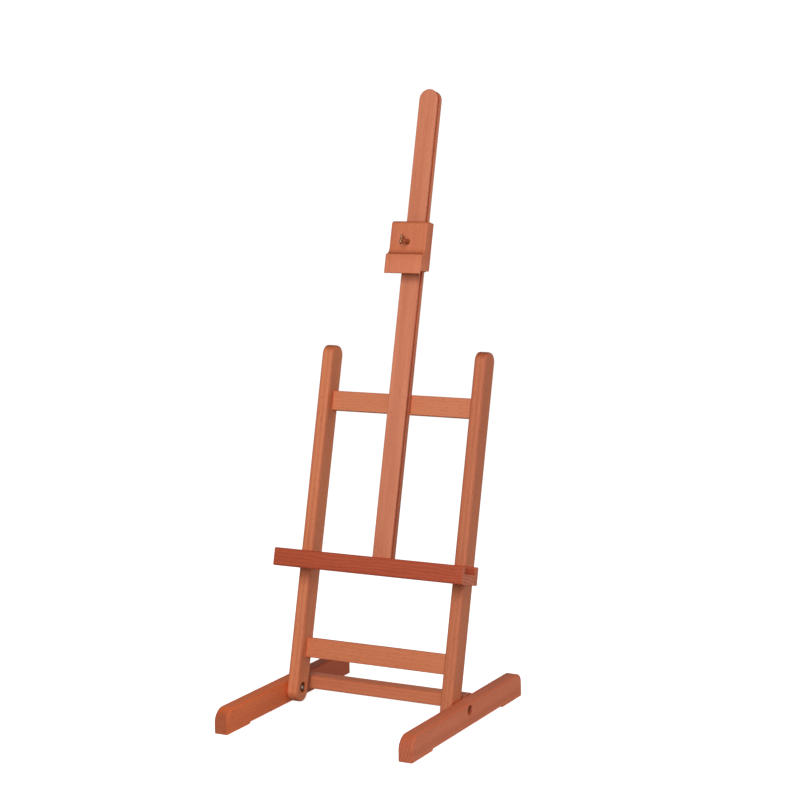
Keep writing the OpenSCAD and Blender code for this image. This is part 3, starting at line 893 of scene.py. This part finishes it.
def make_bolts():
    """A domed head with a hexagon socket, and a shank with a rounded end that carries the post."""
    head_x = foot_hi.x - BOLT_RECESS_DEPTH
    shank_end = bolt_end_x - head_x
    edge_r = BOLT_HEAD_D / 2
    cap_r = edge_r - BOLT_EASE / 3
    cap_foot = BOLT_HEAD_H - BOLT_CAP_H
    end = [(radius, shank_end - z) for radius, z in reversed(dome(BOLT_D / 2, BOLT_END_H, -BOLT_END_H))]
    collar = [(BOLT_D / 2, 0), (edge_r - BOLT_EASE, 0), (edge_r, BOLT_EASE), (edge_r, cap_foot - BOLT_EASE)]
    profile = end + collar + dome(cap_r, BOLT_CAP_H, cap_foot)
    place = along_x(head_x, pivot_up)
    socket = hexagon(SOCKET_FLATS, BOLT_HEAD_H - SOCKET_DEPTH, BOLT_HEAD_H + OVER)
    piece("pivot_bolt_pair", both(moved(lathe(profile), place)), UPRIGHT, "base", ["pivot_bolts"],
          zinc, cuts=[both(moved(socket, place))])


def make_nuts():
    """A hexagon nut with its corners turned off at both ends, and the bore for the bolt."""
    spare = 0.1
    side_r = NUT_FLATS / math.sqrt(3) + spare
    face_r = NUT_FLATS / 2 - 2 * spare
    fall = (side_r - spare - face_r) * math.tan(math.radians(30))
    turned = lathe([(0, 0), (face_r, 0), (side_r, fall), (side_r, NUT_H - fall), (face_r, NUT_H),
                    (0, NUT_H)])
    bore = through_hole(BOLT_D, NUT_H)
    place = along_x(nut_face_x, pivot_up) @ TOWARDS_MIDDLE
    # The nuts' dark brass is partly painted shade in the posts' recesses
    piece("pivot_nut_pair", both(moved(hexagon(NUT_FLATS, 0, NUT_H), place)), UPRIGHT, "base",
          ["pivot_nuts"], dark_brass_and_shade, kept=[both(moved(turned, place))],
          cuts=[both(moved(bore, place))])


make_bolts()
make_nuts()

# ---------------------------------------------------------------- CAD nodes that keep their own mesh
KEPT = {
    "brace_dowels": dowel_wood,
    "crossbar_dowels": dowel_wood,
    "mast_screws": zinc,
    "mast_foot_screw": zinc,
    "tray_screws": zinc,
    # The washers' dark brass is partly painted shade in the recesses
    "pivot_washers": dark_brass_and_shade,
    "clamp_insert": brown_brass,
}
for node_name, material in KEPT.items():
    kept = frame["nodes"][node_name]
    kept.data.materials.clear()
    kept.data.materials.append(material)

# ---------------------------------------------------------------- floor, light and camera
FLOOR_REACH = 7.0
# The floor lies just under the feet, so that no two faces share a plane
FLOOR_DROP = 0.0002


def make_floor():
    """A pale floor that the camera sees and that throws no light on the easel."""
    corners = [(x * FLOOR_REACH, y * FLOOR_REACH, 0) for x, y in ((-1, -1), (1, -1), (1, 1), (-1, 1))]
    mesh = bpy.data.meshes.new("floor")
    mesh.from_pydata(corners, [], [(0, 1, 2, 3)])
    paint = Shader("floor_paint")
    mesh.materials.append(paint.finish(
        Base_Color=rgb(0.80, 0.80, 0.80), Roughness=0.9, Specular_IOR_Level=0.1,
        Emission_Color=rgb(1, 1, 1), Emission_Strength=0.86))
    made = bpy.data.objects.new("floor", mesh)
    bpy.context.scene.collection.objects.link(made)
    made.location.z = -FLOOR_DROP
    made.visible_diffuse = False
    made.visible_glossy = False
    return made


floor = make_floor()

# Strength of the sky's light from below and from above, and what camera and glossy rays see on top of it
SKY_BELOW = 0.38
SKY_ABOVE = 0.16
SKY_TO_CAMERA = 0.81
SKY_TO_GLOSSY = 0.08
# How far below and above the horizon the change from one to the other reaches, as a unit ray's height
SKY_BLEND = 0.6


def make_world():
    """A white sky that lights the easel more from below than from above, as a pale floor does."""
    world = bpy.data.worlds.new("studio")
    bpy.context.scene.world = world
    world.use_nodes = True
    tree = world.node_tree
    tree.nodes.clear()
    toward = tree.nodes.new("ShaderNodeSeparateXYZ")
    tree.links.new(tree.nodes.new("ShaderNodeTexCoord").outputs["Generated"], toward.inputs[0])
    by_height = tree.nodes.new("ShaderNodeMapRange")
    for socket, value in (("From Min", -SKY_BLEND), ("From Max", SKY_BLEND),
                          ("To Min", SKY_BELOW), ("To Max", SKY_ABOVE)):
        by_height.inputs[socket].default_value = value
    tree.links.new(toward.outputs["Z"], by_height.inputs["Value"])
    path = tree.nodes.new("ShaderNodeLightPath")
    strength = by_height.outputs[0]
    for ray, extra in (("Is Camera Ray", SKY_TO_CAMERA), ("Is Glossy Ray", SKY_TO_GLOSSY)):
        more = tree.nodes.new("ShaderNodeMath")
        more.operation = "MULTIPLY_ADD"
        tree.links.new(path.outputs[ray], more.inputs[0])
        more.inputs[1].default_value = extra
        tree.links.new(strength, more.inputs[2])
        strength = more.outputs[0]
    sky = tree.nodes.new("ShaderNodeBackground")
    sky.inputs["Color"].default_value = rgb(1, 1, 1)
    tree.links.new(strength, sky.inputs["Strength"])
    tree.links.new(sky.outputs[0], tree.nodes.new("ShaderNodeOutputWorld").inputs["Surface"])


make_world()

LAMP_AIM = Vector((0, 0, 0.35))
LAMP_DISTANCE = 2.6


def outwards(azimuth, elevation):
    """The unit vector from the easel in that direction, in radians; azimuth 0 is straight in front."""
    level = math.cos(elevation)
    return Vector((math.sin(azimuth) * level, -math.cos(azimuth) * level, math.sin(elevation)))


def softbox(name, azimuth, elevation, size, power):
    """A square area light that faces the middle of the easel, with the angles in degrees."""
    light = bpy.data.lights.new(name, "AREA")
    light.size = size
    light.energy = power
    lamp = bpy.data.objects.new(name, light)
    bpy.context.scene.collection.objects.link(lamp)
    away = outwards(math.radians(azimuth), math.radians(elevation))
    lamp.location = LAMP_AIM + away * LAMP_DISTANCE
    lamp.rotation_mode = "QUATERNION"
    lamp.rotation_quaternion = away.to_track_quat("Z", "Y")


softbox("key", 15, 26, 1.6, 67)
softbox("side", 98, 6, 1.4, 26)

# The photograph's view: where the camera stands in metres, the direction from the easel that it looks
# back along, its roll and its lens in millimetres
CAMERA_PLACE = (1.253365, -2.300813, 0.789201)
CAMERA_AZIMUTH = math.radians(27.842)
CAMERA_ELEVATION = math.radians(7.956)
CAMERA_ROLL = math.radians(-0.797)
CAMERA_LENS = 89.958
SENSOR_WIDTH = 36.0


def make_camera():
    made = bpy.data.objects.new("camera", bpy.data.cameras.new("camera"))
    bpy.context.scene.collection.objects.link(made)
    back = outwards(CAMERA_AZIMUTH, CAMERA_ELEVATION)
    right = Vector((math.cos(CAMERA_AZIMUTH), math.sin(CAMERA_AZIMUTH), 0))
    facing = Matrix((right, back.cross(right), back)).transposed()
    rolled = facing @ Matrix.Rotation(CAMERA_ROLL, 3, "Z")
    made.matrix_world = Matrix.Translation(CAMERA_PLACE) @ rolled.to_4x4()
    made.data.sensor_width = SENSOR_WIDTH
    made.data.lens = CAMERA_LENS
    made.data.clip_start = 0.05
    made.data.clip_end = 50.0
    return made


bpy.context.scene.camera = make_camera()
bpy.context.scene.view_settings.view_transform = "Standard"
